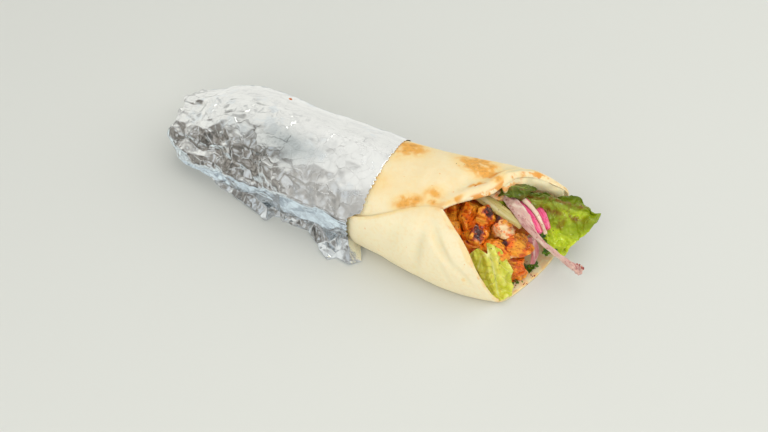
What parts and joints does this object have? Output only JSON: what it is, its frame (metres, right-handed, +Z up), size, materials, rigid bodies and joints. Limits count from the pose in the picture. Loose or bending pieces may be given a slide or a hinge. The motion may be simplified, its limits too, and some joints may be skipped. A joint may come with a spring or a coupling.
{
  "type": "kebab wrap",
  "caption": "A chicken kebab wrap: flatbread rolled round grilled chicken, lettuce, onion and pickles, open at one end, with its lower half in crumpled foil.",
  "frame": {"origin": "middle of the underside, on the surface the wrap lies on", "axes": "+X along the roll towards its open mouth, +Z up, -Y the side with the overlap seam"},
  "size_m": [0.3, 0.1078, 0.0577],
  "materials": {
    "bread": "soft baked flatbread, cream with toasted brown patches, matt",
    "foil": "thin crumpled kitchen foil, bright side out",
    "chicken": "grilled marinated chicken, orange with dark charred spots and paler torn meat, slightly oily",
    "pale_lettuce": "pale inner lettuce leaf, wet and slightly see-through",
    "green_lettuce": "green lettuce leaf, glossy, with sauce stains",
    "onion": "raw onion slice stained pink with sumac",
    "red_onion": "red onion slice, purple skin side",
    "turnip": "pickled turnip, bright pink, wet",
    "pickle": "pickled cucumber, olive, wet",
    "herbs": "chopped parsley, dark green",
    "spice": "dark red sumac crumbs",
    "sauce": "orange marinade oil and crumbs"
  },
  "bodies": {
    "root": {"flatbread": "bread", "foil_wrapper": "foil", "onion_slice_long": "onion", "onion_slice_thin": "onion", "onion_slice_purple": "red_onion", "onion_slice_low": "red_onion", "turnip_pickle_1": "turnip", "turnip_pickle_2": "turnip", "cucumber_pickle": "pickle", "lettuce_leaf_pale": "pale_lettuce", "lettuce_leaf_green": "green_lettuce", "chicken_chunk_1": "chicken", "chicken_chunk_2": "chicken", "chicken_chunk_3": "chicken", "chicken_chunk_4": "chicken", "chicken_chunk_5": "chicken", "chicken_chunk_6": "chicken", "chicken_chunk_7": "chicken", "chicken_chunk_8": "chicken", "chicken_chunk_9": "chicken", "chicken_chunk_10": "chicken", "chicken_chunk_11": "chicken", "chicken_filling": "chicken"}
  },
  "joints": []
}
